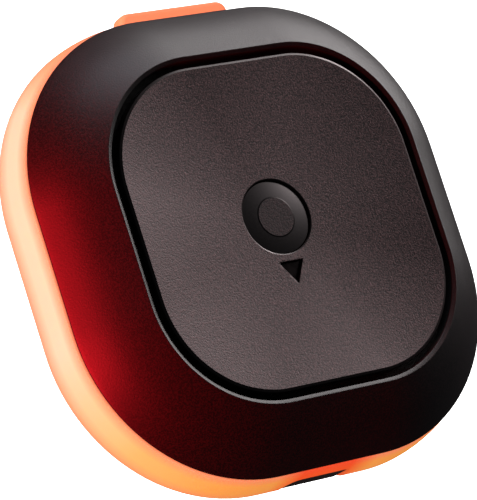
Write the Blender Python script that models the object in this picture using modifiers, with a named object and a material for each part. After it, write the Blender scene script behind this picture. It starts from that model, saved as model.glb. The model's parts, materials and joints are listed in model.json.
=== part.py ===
"""A keyring-sized bluetooth tracker tag: front cap, face plate with a push button, glowing base
shell, snap-on back cover, and the circuit board and coin cell between them.

The tag lies on its back. Z = 0 is the back face, +Z points out of the face plate, +Y towards the
grip tab. All sizes below are millimetres; the helpers turn them into metres.
"""
import math

import bmesh
import bpy
from mathutils import Matrix, Vector

MM = 0.001

# Outlines: every case part is a square with round corners. The corners' centres lie close
# together, a little further out on the larger outlines.
PLATE_HALF = 13.6
CORNER_CENTRE = 4.6
CORNER_SPREAD = 0.09
CORNER_SEGMENTS = 12

# Front: the face plate's rim, its dish, and the groove round it.
RIM_Z = 10.6
DISH_DEPTH = 1.26
DISH_RINGS = 4
GROOVE_WIDTH = 0.6
LEDGE_TOP_Z = 9.2
LEDGE_BOTTOM_Z = 8.2
LEDGE_HALF = 12.6
PLATE_BLOCK_HALF = 12.0
PLATE_UNDER_Z = 8.4
PLATE_FLANGE_Z = 9.75

# Front cap and its skirt, which plugs into the base shell.
CAP_HALF = 19.35
SEAM_Z = 5.95
SHOULDER_BULGE = 0.35
SHOULDER_STEPS = 6
SKIRT_OUTER = 18.3
SKIRT_INNER = 17.5
SKIRT_Z = 4.9

# Base shell.
WALL_HALF = 19.8
WALL_WIDEST_Z = 2.65
WALL_TOP_HALF = 19.35
WALL_TOP_Z = 5.85
BACK_HALF = 17.2
SHELL_FOOT_Z = 0.12
SOCKET_HALF = 18.45
SHELF_HALF = 15.3
SHELF_TOP_Z = 4.75
SHELF_BOTTOM_Z = 3.4
OPENING_HALF = 16.7
TAB_WIDTH = 10.5
TAB_REACH = 20.8
TAB_LOW_Z = 2.7
TAB_HIGH_Z = 4.4
NOTCH_WIDTH = 6.4
NOTCH_HEIGHT = 4.4

# Button, seated a little above the plate's centre.
BUTTON_Y = 0.62
BUTTON_RADIUS = 3.05
BUTTON_HOLE_RADIUS = 3.12
ISLAND_RADIUS = 1.66
FLANK_DROP = 0.13
BUTTON_FLANGE_RADIUS = 3.5
BUTTON_FLANGE_Z = (7.85, 8.15)
BUTTON_NUB_Z = 7.5

# Indicator window: a triangle that points at the notch.
WINDOW_BASE_Y = -3.22
WINDOW_TIP_Y = -4.95
WINDOW_HALF_WIDTH = 1.03
WINDOW_GAP = 0.1

# Inside.
BOARD_HALF = 15.0
BOARD_Z = (5.2, 5.8)
PARTS_Z = 5.85
SWITCH_TOP_Z = 6.95
PLUNGER_Z = (6.8, 7.4)
SCREW_XY = 10.8
SCREW_CLEARANCE = 0.9
BOSS_RADIUS = 1.5
PILOT_RADIUS = 0.75
CELL_RADIUS = 10.0
CELL_Y = 0.0
POCKET_RADIUS = 10.35
CHASSIS_Z = (2.2, 5.0)
CELL_Z = (1.5, 4.7)

# Back cover.
COVER_HALF = 16.4
COVER_THICKNESS = 1.0
COVER_LIP = (15.3, 16.1, 2.0)
TONGUE_WIDTH = 5.6
TONGUE_REACH = 19.6
TONGUE_HEIGHT = 4.0
TONGUE_CLEAR = 16.85

BLACK_PLASTIC = ((0.018, 0.016, 0.017), 0.45, 0.0)
GLOW_ORANGE = ((1.0, 0.22, 0.05), 0.38, 0.0)
BLACK_RUBBER = ((0.01, 0.01, 0.01), 0.8, 0.0)
STEEL = ((0.62, 0.62, 0.63), 0.25, 1.0)
BRASS = ((0.78, 0.57, 0.24), 0.3, 1.0)
BOARD_GREEN = ((0.01, 0.06, 0.03), 0.4, 0.0)
CERAMIC = ((0.72, 0.7, 0.64), 0.4, 0.0)
LED_WHITE = ((0.9, 0.85, 0.6), 0.2, 0.0)


# Scene, materials and modifiers ------------------------------------------------------------------

def clear_scene():
    """Remove every object that the file starts with."""
    for item in list(bpy.data.objects):
        bpy.data.objects.remove(item, do_unlink=True)


def new_collection(name):
    """Make a collection under the scene."""
    group = bpy.data.collections.new(name)
    bpy.context.scene.collection.children.link(group)
    return group


def add_material(thing, finish):
    """Give an object its own Principled material."""
    colour, roughness, metallic = finish
    material = bpy.data.materials.new(thing.name + "_material")
    material.use_nodes = True
    shader = material.node_tree.nodes["Principled BSDF"]
    shader.inputs["Base Color"].default_value = (*colour, 1.0)
    shader.inputs["Roughness"].default_value = roughness
    shader.inputs["Metallic"].default_value = metallic
    thing.data.materials.append(material)


def object_from(name, work_mesh, group):
    """Turn a bmesh, in millimetres, into an object with outward faces, in metres."""
    bmesh.ops.recalc_face_normals(work_mesh, faces=work_mesh.faces)
    mesh = bpy.data.meshes.new(name)
    work_mesh.to_mesh(mesh)
    work_mesh.free()
    mesh.transform(Matrix.Scale(MM, 4))
    thing = bpy.data.objects.new(name, mesh)
    group.objects.link(thing)
    return thing


def smooth(thing, angle=35.0):
    """Shade smooth, with edges sharper than the angle kept."""
    thing.data.shade_smooth()
    thing.data.set_sharp_from_angle(angle=math.radians(angle))
    return thing


def bevel(thing, width, segments=2, angle=30.0):
    """Round the edges that are sharper than the angle."""
    modifier = thing.modifiers.new("bevel", "BEVEL")
    modifier.width = width * MM
    modifier.segments = segments
    modifier.limit_method = "ANGLE"
    modifier.angle_limit = math.radians(angle)
    return thing


def boolean(thing, tool, operation):
    """Cut a tool out of an object, or join it on."""
    modifier = thing.modifiers.new(operation.lower(), "BOOLEAN")
    modifier.operation = operation
    modifier.object = tool
    tool.hide_render = True
    tool.display_type = "WIRE"
    return thing


# Shapes ------------------------------------------------------------------------------------------

def rounded_square(half, radius, z):
    """Points round a square with round corners, counter-clockwise from above."""
    points = []
    for corner in range(4):
        middle = math.radians(45 + 90 * corner)
        centre_x = math.copysign(half - radius, math.cos(middle))
        centre_y = math.copysign(half - radius, math.sin(middle))
        for step in range(CORNER_SEGMENTS + 1):
            angle = middle + math.radians(90 * step / CORNER_SEGMENTS - 45)
            x = centre_x + radius * math.cos(angle)
            y = centre_y + radius * math.sin(angle)
            points.append(Vector((x, y, z)))
    return points


def ring(half, z):
    """One of the case's shared family of outlines."""
    centre = CORNER_CENTRE + CORNER_SPREAD * (half - PLATE_HALF)
    return rounded_square(half, half - centre, z)


def shrunk(points, factor, z):
    """The same outline, shrunk about the Z axis."""
    return [Vector((point.x * factor, point.y * factor, z)) for point in points]


def loft(name, rings, group, closed):
    """Skin a list of rings, capped at both ends or, when closed, joined last to first."""
    work = bmesh.new()
    loops = [[work.verts.new(point) for point in points] for points in rings]
    pairs = list(zip(loops, loops[1:]))
    if closed:
        pairs.append((loops[-1], loops[0]))
    else:
        work.faces.new(list(reversed(loops[0])))
        work.faces.new(loops[-1])
    for lower, upper in pairs:
        for here in range(len(lower)):
            following = (here + 1) % len(lower)
            work.faces.new((lower[here], lower[following], upper[following], upper[here]))
    return object_from(name, work, group)


def box(name, low, high, group):
    """A box between two corners."""
    low, high = Vector(low), Vector(high)
    work = bmesh.new()
    place = Matrix.Translation((low + high) / 2) @ Matrix.Diagonal((*(high - low), 1.0))
    bmesh.ops.create_cube(work, size=1.0, matrix=place)
    return object_from(name, work, group)


def cylinder(name, radius, low_z, high_z, centre, group, sides=32):
    """An upright cylinder."""
    work = bmesh.new()
    place = Matrix.Translation((*centre, (low_z + high_z) / 2))
    bmesh.ops.create_cone(work, cap_ends=True, segments=sides, radius1=radius, radius2=radius,
                          depth=high_z - low_z, matrix=place)
    return object_from(name, work, group)


def turned(name, profile, centre, group, steps=32):
    """Spin a profile of (radius, z), which runs from top to bottom, about an upright axis."""
    mesh = bpy.data.meshes.new(name)
    points = [(radius * MM, 0.0, z * MM) for radius, z in profile]
    mesh.from_pydata(points, [(i, i + 1) for i in range(len(points) - 1)], [])
    thing = bpy.data.objects.new(name, mesh)
    thing.location = (centre[0] * MM, centre[1] * MM, 0.0)
    group.objects.link(thing)
    modifier = thing.modifiers.new("turn", "SCREW")
    modifier.steps = steps
    modifier.render_steps = steps
    modifier.use_merge_vertices = True
    modifier.merge_threshold = 0.00001
    return thing


def flat(name, outline, low_z, high_z, group):
    """A slab with a 2D outline, as a mesh."""
    curve = bpy.data.curves.new(name + "_outline", "CURVE")
    curve.dimensions = "2D"
    curve.fill_mode = "BOTH"
    curve.extrude = (high_z - low_z) / 2 * MM
    spline = curve.splines.new("POLY")
    spline.points.add(len(outline) - 1)
    for point, (x, y) in zip(spline.points, outline):
        point.co = (x * MM, y * MM, 0.0, 1.0)
    spline.use_cyclic_u = True
    guide = bpy.data.objects.new(name + "_outline", curve)
    group.objects.link(guide)
    guide.location.z = (low_z + high_z) / 2 * MM
    bpy.context.view_layer.update()
    evaluated = guide.evaluated_get(bpy.context.evaluated_depsgraph_get())
    mesh = bpy.data.meshes.new_from_object(evaluated)
    work = bmesh.new()
    work.from_mesh(mesh)
    bmesh.ops.remove_doubles(work, verts=work.verts, dist=0.000001)
    bmesh.ops.recalc_face_normals(work, faces=work.faces)
    work.to_mesh(mesh)
    work.free()
    mesh.transform(guide.matrix_world)
    bpy.data.objects.remove(guide)
    thing = bpy.data.objects.new(name, mesh)
    group.objects.link(thing)
    return thing


def rounded_rectangle(low, high, radius, steps=5):
    """Points round a rectangle with round corners, counter-clockwise."""
    centres = ((high[0] - radius, high[1] - radius), (low[0] + radius, high[1] - radius),
               (low[0] + radius, low[1] + radius), (high[0] - radius, low[1] + radius))
    points = []
    for corner, (x, y) in enumerate(centres):
        for step in range(steps + 1):
            angle = math.radians(90 * (corner + step / steps))
            points.append((x + radius * math.cos(angle), y + radius * math.sin(angle)))
    return points


def triangle(grow):
    """The indicator window's outline, grown outwards by a distance."""
    rise = WINDOW_BASE_Y - WINDOW_TIP_Y
    slant = math.hypot(rise, WINDOW_HALF_WIDTH)
    tip = WINDOW_TIP_Y - grow * slant / WINDOW_HALF_WIDTH
    top = WINDOW_BASE_Y + grow
    half = (top - tip) * WINDOW_HALF_WIDTH / rise
    return [(half, top), (-half, top), (0.0, tip)]


# Case --------------------------------------------------------------------------------------------

def shoulder_rings():
    """The cap's visible shoulder, from the seam up to the groove, slightly crowned."""
    inner, outer = PLATE_HALF + GROOVE_WIDTH + 0.2, CAP_HALF
    low, high = SEAM_Z + 0.25, RIM_Z
    rings = [ring(CAP_HALF - 0.15, SEAM_Z)]
    for step in range(SHOULDER_STEPS + 1):
        along = step / SHOULDER_STEPS
        crown = SHOULDER_BULGE * math.sin(math.pi * along)
        rings.append(ring(outer + (inner - outer) * along + 0.6 * crown,
                          low + (high - low) * along + 0.8 * crown))
    rings.append(ring(PLATE_HALF + GROOVE_WIDTH, RIM_Z - 0.2))
    return rings


def make_front_cap(parts, tools):
    """Front cap: crowned shoulder, ledge for the face plate, skirt and four screw bosses."""
    rings = shoulder_rings()
    rings.append(ring(PLATE_HALF + GROOVE_WIDTH, LEDGE_TOP_Z))
    rings.append(ring(LEDGE_HALF, LEDGE_TOP_Z))
    rings.append(ring(LEDGE_HALF, LEDGE_BOTTOM_Z))
    rings.append(ring(PLATE_HALF, LEDGE_BOTTOM_Z))
    rings.append(ring(SKIRT_INNER, SEAM_Z - 0.4))
    rings.append(ring(SKIRT_INNER, SKIRT_Z))
    rings.append(ring(SKIRT_OUTER, SKIRT_Z))
    rings.append(ring(SKIRT_OUTER, SEAM_Z))
    cap = loft("front_cap", rings, parts, closed=True)
    for number, spot in enumerate(screw_spots(), start=1):
        boss = cylinder(f"boss_{number}", BOSS_RADIUS, SEAM_Z, LEDGE_BOTTOM_Z + 0.15, spot, tools, 24)
        boolean(cap, boss, "UNION")
        pilot = cylinder(f"pilot_{number}", PILOT_RADIUS, SEAM_Z - 1, LEDGE_BOTTOM_Z - 0.2, spot,
                         tools, 24)
        boolean(cap, pilot, "DIFFERENCE")
    add_material(smooth(cap), BLACK_PLASTIC)


def make_face_plate(parts, tools):
    """Face plate: a dished square with a thick middle, a hole for the button and a window."""
    rim = ring(PLATE_HALF - 0.12, RIM_Z)
    rings = [ring(PLATE_BLOCK_HALF, PLATE_UNDER_Z), ring(PLATE_BLOCK_HALF, PLATE_FLANGE_Z),
             ring(PLATE_HALF, PLATE_FLANGE_Z), ring(PLATE_HALF, RIM_Z - 0.12), rim]
    for step in range(1, DISH_RINGS):
        factor = 1 - step / DISH_RINGS
        rings.append(shrunk(rim, factor, dish_height(factor)))
    rings.append(shrunk(rim, 0.08, dish_height(0.0)))
    plate = loft("face_plate", rings, parts, closed=False)
    hole = cylinder("button_hole", BUTTON_HOLE_RADIUS, PLATE_UNDER_Z - 1, RIM_Z + 1,
                    (0.0, BUTTON_Y), tools, 48)
    boolean(plate, hole, "DIFFERENCE")
    window = flat("window_hole", triangle(WINDOW_GAP), PLATE_UNDER_Z - 1, RIM_Z + 1, tools)
    boolean(plate, window, "DIFFERENCE")
    add_material(smooth(plate, 25), BLACK_PLASTIC)


def dish_height(factor):
    """Height of the plate's dished surface, from 0 at its centre to 1 at its rim."""
    return RIM_Z - DISH_DEPTH * (1 - factor ** 2)


def make_plate_gasket(parts):
    """Adhesive gasket that seals the plate to the cap's ledge."""
    low, high = LEDGE_TOP_Z + 0.08, PLATE_FLANGE_Z - 0.08
    inner, outer = LEDGE_HALF + 0.15, PLATE_HALF - 0.1
    rings = [ring(outer, low), ring(outer, high), ring(inner, high), ring(inner, low)]
    add_material(smooth(loft("plate_gasket", rings, parts, closed=True)), BLACK_RUBBER)


def make_base_shell(parts, tools):
    """Base shell: convex outer wall, inner shelf, grip tab at the top and notch at the bottom."""
    rings = wall_rings()
    for half, z in ((SOCKET_HALF, WALL_TOP_Z), (SOCKET_HALF, SHELF_TOP_Z),
                    (SHELF_HALF, SHELF_TOP_Z), (SHELF_HALF, SHELF_BOTTOM_Z),
                    (OPENING_HALF, SHELF_BOTTOM_Z), (OPENING_HALF, SHELL_FOOT_Z)):
        rings.append(ring(half, z))
    shell = loft("base_shell", rings, parts, closed=True)
    outline = rounded_rectangle((-TAB_WIDTH / 2, SOCKET_HALF + 0.4), (TAB_WIDTH / 2, TAB_REACH), 0.9)
    boolean(shell, bevel(flat("tab", outline, TAB_LOW_Z, TAB_HIGH_Z, tools), 0.4), "UNION")
    arch = rounded_rectangle((-NOTCH_WIDTH / 2, -3.0), (NOTCH_WIDTH / 2, NOTCH_HEIGHT), 1.2)
    notch = flat("notch", arch, OPENING_HALF - 0.6, WALL_HALF + 1, tools)
    notch.data.transform(Matrix.Rotation(math.radians(90), 4, "X"))
    add_material(smooth(boolean(shell, notch, "DIFFERENCE")), GLOW_ORANGE)


def wall_rings():
    """The base shell's outer wall: a quarter ellipse up to its widest line, then a gentle lean in."""
    reach = WALL_HALF - BACK_HALF
    rings = []
    for degrees in (-90, -70, -50, -30, -15, 0):
        angle = math.radians(degrees)
        rings.append(ring(BACK_HALF + reach * math.cos(angle),
                          WALL_WIDEST_Z + (WALL_WIDEST_Z - SHELL_FOOT_Z) * math.sin(angle)))
    for share in (0.4, 0.7, 1.0):
        rings.append(ring(WALL_HALF - (WALL_HALF - WALL_TOP_HALF) * share ** 2,
                          WALL_WIDEST_Z + (WALL_TOP_Z - WALL_WIDEST_Z) * share))
    return rings


def make_back_cover(parts, tools):
    """Snap-on back cover: a softened plate, a raised lip, and a pull tongue in the notch."""
    lip_inner, lip_outer, lip_top = COVER_LIP
    rings = [ring(COVER_HALF - 0.35, 0.0), ring(COVER_HALF - 0.1, 0.1), ring(COVER_HALF, 0.35),
             ring(COVER_HALF, COVER_THICKNESS), ring(lip_outer, COVER_THICKNESS),
             ring(lip_outer, lip_top), ring(lip_inner, lip_top), ring(lip_inner, COVER_THICKNESS)]
    cover = loft("back_cover", rings, parts, closed=False)
    side = [(COVER_HALF - 0.7, 0.12), (TONGUE_REACH - 1.7, 0.12), (TONGUE_REACH - 0.5, 0.9),
            (TONGUE_REACH, 2.0), (TONGUE_REACH, TONGUE_HEIGHT - 0.3),
            (TONGUE_REACH - 0.3, TONGUE_HEIGHT), (TONGUE_CLEAR, TONGUE_HEIGHT),
            (TONGUE_CLEAR, COVER_THICKNESS - 0.1), (COVER_HALF - 0.7, COVER_THICKNESS - 0.1)]
    tongue = flat("tongue", side, -TONGUE_WIDTH / 2, TONGUE_WIDTH / 2, tools)
    tongue.data.transform(Matrix(((0, 0, -1, 0), (-1, 0, 0, 0), (0, 1, 0, 0), (0, 0, 0, 1))))
    boolean(cover, tongue, "UNION")
    add_material(smooth(cover), BLACK_PLASTIC)


def make_cover_seal(parts):
    """Seal ring seated round the cover's lip."""
    inner, outer = COVER_LIP[1] + 0.06, OPENING_HALF - 0.08
    low = COVER_THICKNESS + 0.08
    rings = [ring(outer, low), ring(outer, low + 0.5), ring(inner, low + 0.5), ring(inner, low)]
    add_material(smooth(loft("cover_seal", rings, parts, closed=True)), BLACK_RUBBER)


# Button and indicator ----------------------------------------------------------------------------

def make_button(parts):
    """Button cap: level island, conical flank, and a retaining flange with a nub below."""
    top = dish_height(0.0)
    flank = top - FLANK_DROP
    flange_low, flange_top = BUTTON_FLANGE_Z
    profile = [(0.0, top), (ISLAND_RADIUS - 0.1, top), (ISLAND_RADIUS, top - 0.05),
               (BUTTON_RADIUS - 0.08, flank), (BUTTON_RADIUS, flank - 0.08),
               (BUTTON_RADIUS, flange_top), (BUTTON_FLANGE_RADIUS, flange_top),
               (BUTTON_FLANGE_RADIUS, flange_low), (0.7, flange_low), (0.6, BUTTON_NUB_Z),
               (0.0, BUTTON_NUB_Z)]
    button = turned("button_cap", profile, (0.0, BUTTON_Y), parts, 48)
    add_material(button, BLACK_PLASTIC)


def make_tact_switch(parts, tools):
    """Surface-mount switch under the button: a body with a well, and its plunger."""
    half = 1.6
    body = box("tact_switch_body", (-half, BUTTON_Y - half, PARTS_Z),
               (half, BUTTON_Y + half, SWITCH_TOP_Z), parts)
    well = cylinder("switch_well", 0.8, PARTS_Z - 1, SWITCH_TOP_Z + 1, (0.0, BUTTON_Y), tools, 24)
    add_material(boolean(body, well, "DIFFERENCE"), STEEL)
    low, high = PLUNGER_Z
    profile = [(0.0, high), (0.5, high), (0.65, high - 0.1), (0.65, low), (0.0, low)]
    add_material(turned("tact_switch_plunger", profile, (0.0, BUTTON_Y), parts, 24), BLACK_RUBBER)


def make_indicator(parts):
    """Smoked window with a flange below the plate, and the LED that lights it."""
    lens = flat("indicator_lens", triangle(0.0), PLATE_UNDER_Z - 0.2,
                dish_height(0.3) - 0.25, parts)
    add_material(bevel(lens, 0.04, 1), BLACK_PLASTIC)
    led = box("indicator_led", (-0.5, -4.2, PARTS_Z), (0.5, -3.6, PARTS_Z + 0.45), parts)
    add_material(bevel(led, 0.05), LED_WHITE)


# Inside ------------------------------------------------------------------------------------------

def screw_spots():
    """The four screw axes, one near each corner."""
    return [(x * SCREW_XY, y * SCREW_XY) for x, y in ((1, 1), (-1, 1), (-1, -1), (1, -1))]


def drill_screw_holes(thing, prefix, tools):
    """Cut four clearance holes for the case screws."""
    for number, spot in enumerate(screw_spots(), start=1):
        hole = cylinder(f"{prefix}_hole_{number}", SCREW_CLEARANCE, 0.0, RIM_Z, spot, tools, 24)
        boolean(thing, hole, "DIFFERENCE")


def make_board(parts, tools):
    """Main circuit board."""
    low, high = BOARD_Z
    board = loft("main_pcb", [ring(BOARD_HALF, low), ring(BOARD_HALF, high)], parts, closed=False)
    drill_screw_holes(board, "board", tools)
    add_material(board, BOARD_GREEN)


def make_board_parts(parts):
    """Radio shield, antenna, crystal, capacitors and the four glow LEDs on the board."""
    shield = box("radio_shield", (-10.4, 3.2, PARTS_Z), (-3.6, 9.4, PARTS_Z + 1.1), parts)
    add_material(bevel(shield, 0.2), STEEL)
    antenna = box("chip_antenna", (-3.2, 11.4, PARTS_Z), (3.2, 13.2, PARTS_Z + 0.9), parts)
    add_material(bevel(antenna, 0.1), CERAMIC)
    crystal = box("crystal", (3.6, 6.8, PARTS_Z), (6.8, 8.4, PARTS_Z + 0.7), parts)
    add_material(bevel(crystal, 0.15), STEEL)
    for number, (x, y) in enumerate(((4.4, 3.6), (6.2, 3.6), (8.0, 3.6)), start=1):
        name = f"capacitor_{number}"
        capacitor = box(name, (x - 0.4, y - 0.75, PARTS_Z), (x + 0.4, y + 0.75, PARTS_Z + 0.75), parts)
        add_material(bevel(capacitor, 0.08), CERAMIC)
    for number, (x, y) in enumerate(((13.2, 4), (-13.2, 4), (-13.2, -4), (13.2, -4)), start=1):
        name = f"glow_led_{number}"
        led = box(name, (x - 0.5, y - 0.9, PARTS_Z), (x + 0.5, y + 0.9, PARTS_Z + 0.7), parts)
        add_material(bevel(led, 0.1), LED_WHITE)


def make_sounder(parts):
    """Piezo sounder: a support ring, a brass plate and a ceramic disc on it."""
    centre = (6.4, -6.4)
    rest_z = PARTS_Z + 0.7
    holder = [(4.0, rest_z), (4.6, rest_z), (4.6, PARTS_Z), (4.0, PARTS_Z), (4.0, rest_z)]
    add_material(turned("sounder_holder", holder, centre, parts), BLACK_PLASTIC)
    plate = cylinder("sounder_brass_plate", 4.5, rest_z + 0.05, rest_z + 0.17, centre, parts, 40)
    add_material(smooth(plate), BRASS)
    disc = cylinder("sounder_ceramic_disc", 3.1, rest_z + 0.22, rest_z + 0.37, centre, parts, 40)
    add_material(smooth(disc), CERAMIC)


def make_chassis(parts, tools):
    """Battery chassis: clamps under the base's shelf, with a round pocket for the cell."""
    low, high = CHASSIS_Z
    flange_half, block_half, flange_z = OPENING_HALF - 0.3, SHELF_HALF - 0.2, SHELF_BOTTOM_Z - 0.1
    rings = [ring(flange_half, low), ring(flange_half, flange_z), ring(block_half, flange_z),
             ring(block_half, high)]
    chassis = loft("battery_chassis", rings, parts, closed=False)
    pocket = cylinder("cell_pocket", POCKET_RADIUS, low - 1, high + 1, (0.0, CELL_Y), tools, 64)
    boolean(chassis, pocket, "DIFFERENCE")
    drill_screw_holes(chassis, "chassis", tools)
    add_material(smooth(chassis), BLACK_PLASTIC)


def make_cell(parts):
    """Coin cell: the can, and the smaller negative cap that faces the board."""
    centre = (0.0, CELL_Y)
    low, high = CELL_Z
    step = high - 0.35
    can = [(0.0, step), (9.6, step), (9.9, step - 0.1), (CELL_RADIUS, step - 0.3),
           (CELL_RADIUS, low + 0.3), (9.9, low + 0.08), (9.65, low), (0.0, low)]
    add_material(turned("cell_can", can, centre, parts, 64), STEEL)
    cap = [(0.0, high), (8.5, high), (8.75, high - 0.1), (8.8, step + 0.05), (0.0, step + 0.05)]
    add_material(turned("cell_negative_cap", cap, centre, parts, 48), STEEL)


def make_contacts(parts):
    """Battery contacts: a curved side strip and a flat leaf above the cell."""
    inner, outer, half_angle, steps = CELL_RADIUS + 0.08, CELL_RADIUS + 0.24, 22.0, 10
    sweep = [math.radians(-half_angle + 2 * half_angle * i / steps) for i in range(steps + 1)]
    outline = [(outer * math.cos(a), CELL_Y + outer * math.sin(a)) for a in sweep]
    outline += [(inner * math.cos(a), CELL_Y + inner * math.sin(a)) for a in reversed(sweep)]
    add_material(flat("battery_contact_positive", outline, CHASSIS_Z[0] + 0.1, CHASSIS_Z[1], parts),
                 BRASS)
    leaf = rounded_rectangle((-6.0, CELL_Y - 1.8), (6.0, CELL_Y + 1.8), 1.7)
    leaf_z = CELL_Z[1] + 0.15
    add_material(flat("battery_contact_negative", leaf, leaf_z, leaf_z + 0.12, parts), BRASS)


def make_screws(parts):
    """Four case screws, driven from the back into the cap's bosses."""
    head_z = CHASSIS_Z[0] - 0.07
    tip_z = LEDGE_BOTTOM_Z - 0.5
    profile = [(0.0, tip_z), (0.35, tip_z), (0.6, tip_z - 0.4), (0.6, head_z), (1.25, head_z),
               (1.25, head_z - 0.38), (1.05, head_z - 0.58), (0.0, head_z - 0.58)]
    for number, spot in enumerate(screw_spots(), start=1):
        add_material(turned(f"case_screw_{number}", profile, spot, parts, 24), STEEL)


def make_foam_pad(parts):
    """Foam pad on the cover, which steadies the cell."""
    pad = cylinder("foam_pad", 5.0, COVER_THICKNESS + 0.05, CELL_Z[0] - 0.08, (0.0, CELL_Y), parts, 40)
    add_material(smooth(pad), BLACK_RUBBER)


def main():
    """Build the whole tag."""
    clear_scene()
    parts = new_collection("bluetooth_tracker_tag")
    tools = new_collection("cutters")
    make_front_cap(parts, tools)
    make_face_plate(parts, tools)
    make_plate_gasket(parts)
    make_button(parts)
    make_tact_switch(parts, tools)
    make_indicator(parts)
    make_base_shell(parts, tools)
    make_back_cover(parts, tools)
    make_cover_seal(parts)
    make_foam_pad(parts)
    make_board(parts, tools)
    make_board_parts(parts)
    make_sounder(parts)
    make_chassis(parts, tools)
    make_cell(parts)
    make_contacts(parts)
    make_screws(parts)


main()
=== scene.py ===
"""Looks for the bluetooth tracker tag: fine meshes, procedural materials, studio light, camera.

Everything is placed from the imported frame. The tag lies on its back, with +Z out of its face plate
and +Y towards its grip tab. Lengths are metres, and MM turns millimetres into metres.
"""
import json
import math

import bmesh
import bpy
from mathutils import Matrix, Vector


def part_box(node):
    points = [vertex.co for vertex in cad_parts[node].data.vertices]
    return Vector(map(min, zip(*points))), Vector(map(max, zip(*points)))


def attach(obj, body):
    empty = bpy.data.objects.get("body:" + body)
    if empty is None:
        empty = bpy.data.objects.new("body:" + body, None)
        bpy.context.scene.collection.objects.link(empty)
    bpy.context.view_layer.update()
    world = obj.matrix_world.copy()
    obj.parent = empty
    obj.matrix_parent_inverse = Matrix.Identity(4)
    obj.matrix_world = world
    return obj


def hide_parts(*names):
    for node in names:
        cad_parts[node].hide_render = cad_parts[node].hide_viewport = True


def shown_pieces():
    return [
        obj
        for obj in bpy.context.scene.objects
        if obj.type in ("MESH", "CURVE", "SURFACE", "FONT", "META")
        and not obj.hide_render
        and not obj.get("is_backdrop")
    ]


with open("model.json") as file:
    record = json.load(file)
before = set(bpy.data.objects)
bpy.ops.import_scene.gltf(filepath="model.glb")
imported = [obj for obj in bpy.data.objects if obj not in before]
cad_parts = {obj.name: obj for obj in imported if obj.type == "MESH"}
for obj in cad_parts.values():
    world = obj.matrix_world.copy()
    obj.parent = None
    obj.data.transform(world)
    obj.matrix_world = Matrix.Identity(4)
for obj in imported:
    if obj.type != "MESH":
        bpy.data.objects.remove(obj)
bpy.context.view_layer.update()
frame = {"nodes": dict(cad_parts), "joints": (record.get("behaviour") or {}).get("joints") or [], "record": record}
MM = 0.001
SCENE = bpy.context.scene


# Sizes: from the frame where it has them, and the fine details in millimetres -------------------

def half_width(node):
    """Half of a node's width along X."""
    low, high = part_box(node)
    return (high[0] - low[0]) / 2


def top_z(node):
    """Height of a node's top."""
    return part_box(node)[1][2]


def low_z(node):
    """Height of a node's underside."""
    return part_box(node)[0][2]


# The family of rounded squares that the plate, cap, shell and cover share
PLATE_HALF = half_width("face_plate")
CORNER_CENTRE = 4.6 * MM
CORNER_SPREAD = 0.09

# Front cap and its groove
CAP_HALF = half_width("front_cap")
RIM_Z = top_z("front_cap")
SEAM_Z = top_z("base_shell") + 0.1 * MM
SHOULDER_CROWN = 0.35 * MM
CHAMFER_WIDTH = 0.32 * MM
CHAMFER_DROP = 0.15 * MM
GROOVE_HALF = PLATE_HALF + 0.6 * MM
GROOVE_FLOOR_Z = low_z("plate_gasket") - 0.08 * MM
LEDGE_HALF = PLATE_HALF - 1.0 * MM
LEDGE_THICK = 1.0 * MM
SKIRT_Z = low_z("front_cap")
SKIRT_OUTER = CAP_HALF - 1.05 * MM
SKIRT_INNER = CAP_HALF - 1.85 * MM

# Face plate, with its dish, its button hole and its window
PLATE_TOP_Z = top_z("face_plate")
PLATE_UNDER_Z = low_z("face_plate")
PLATE_FLANGE_Z = top_z("plate_gasket") + 0.08 * MM
PLATE_BLOCK_HALF = PLATE_HALF - 1.6 * MM
PLATE_EDGE = 0.23 * MM
DISH_Z = top_z("button_cap")
HOLE_EDGE = 0.1 * MM
LENS_LOW, LENS_HIGH = (Vector(corner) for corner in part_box("indicator_lens"))
WINDOW_GAP = 0.1 * MM

# Button
FLANGE_RADIUS = half_width("button_cap")
BUTTON_RADIUS = FLANGE_RADIUS - 0.45 * MM
BUTTON_Y = (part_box("button_cap")[0][1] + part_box("button_cap")[1][1]) / 2
HOLE_RADIUS = BUTTON_RADIUS + 0.07 * MM
FLANK_DROP = 0.13 * MM
NUB_Z = low_z("button_cap")
FLANGE_Z = (NUB_Z + 0.35 * MM, NUB_Z + 0.65 * MM)
ISLAND_RADIUS = 1.66 * MM
ISLAND_EDGE = 0.06 * MM

# Base shell, with its grip tab and its notch
WALL_HALF = half_width("base_shell")
WALL_WIDEST_Z = 2.65 * MM
BACK_HALF = WALL_HALF - 2.6 * MM
SHELL_FOOT_Z = low_z("base_shell")
SHELL_TOP_Z = top_z("base_shell")
SOCKET_HALF = CAP_HALF - 0.9 * MM
SHELF_HALF = 15.3 * MM
SHELF_Z = (3.4 * MM, 4.75 * MM)
TAB_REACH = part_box("base_shell")[1][1]
TAB_HALF = 5.25 * MM
TAB_Z = (2.7 * MM, 4.4 * MM)
NOTCH_HALF = 3.2 * MM
NOTCH_TOP_Z = 4.4 * MM

# Back cover and its pull tongue
COVER_HALF = half_width("back_cover")
COVER_PLATE_Z = 1.0 * MM
LIP_INNER = 15.3 * MM
LIP_OUTER = 16.1 * MM
LIP_TOP_Z = 2.0 * MM
RECESS_RADIUS = 11.5 * MM
RECESS_DEPTH = 0.16 * MM
TONGUE_HALF = 2.8 * MM
TONGUE_REACH = -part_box("back_cover")[0][1]
TONGUE_TOP_Z = top_z("back_cover")

# Fineness of the meshes
CORNER_STEPS = 28
TURN_STEPS = 96
AXIS_RADIUS = 0.01 * MM


# Mesh helpers ------------------------------------------------------------------------------------

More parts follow.
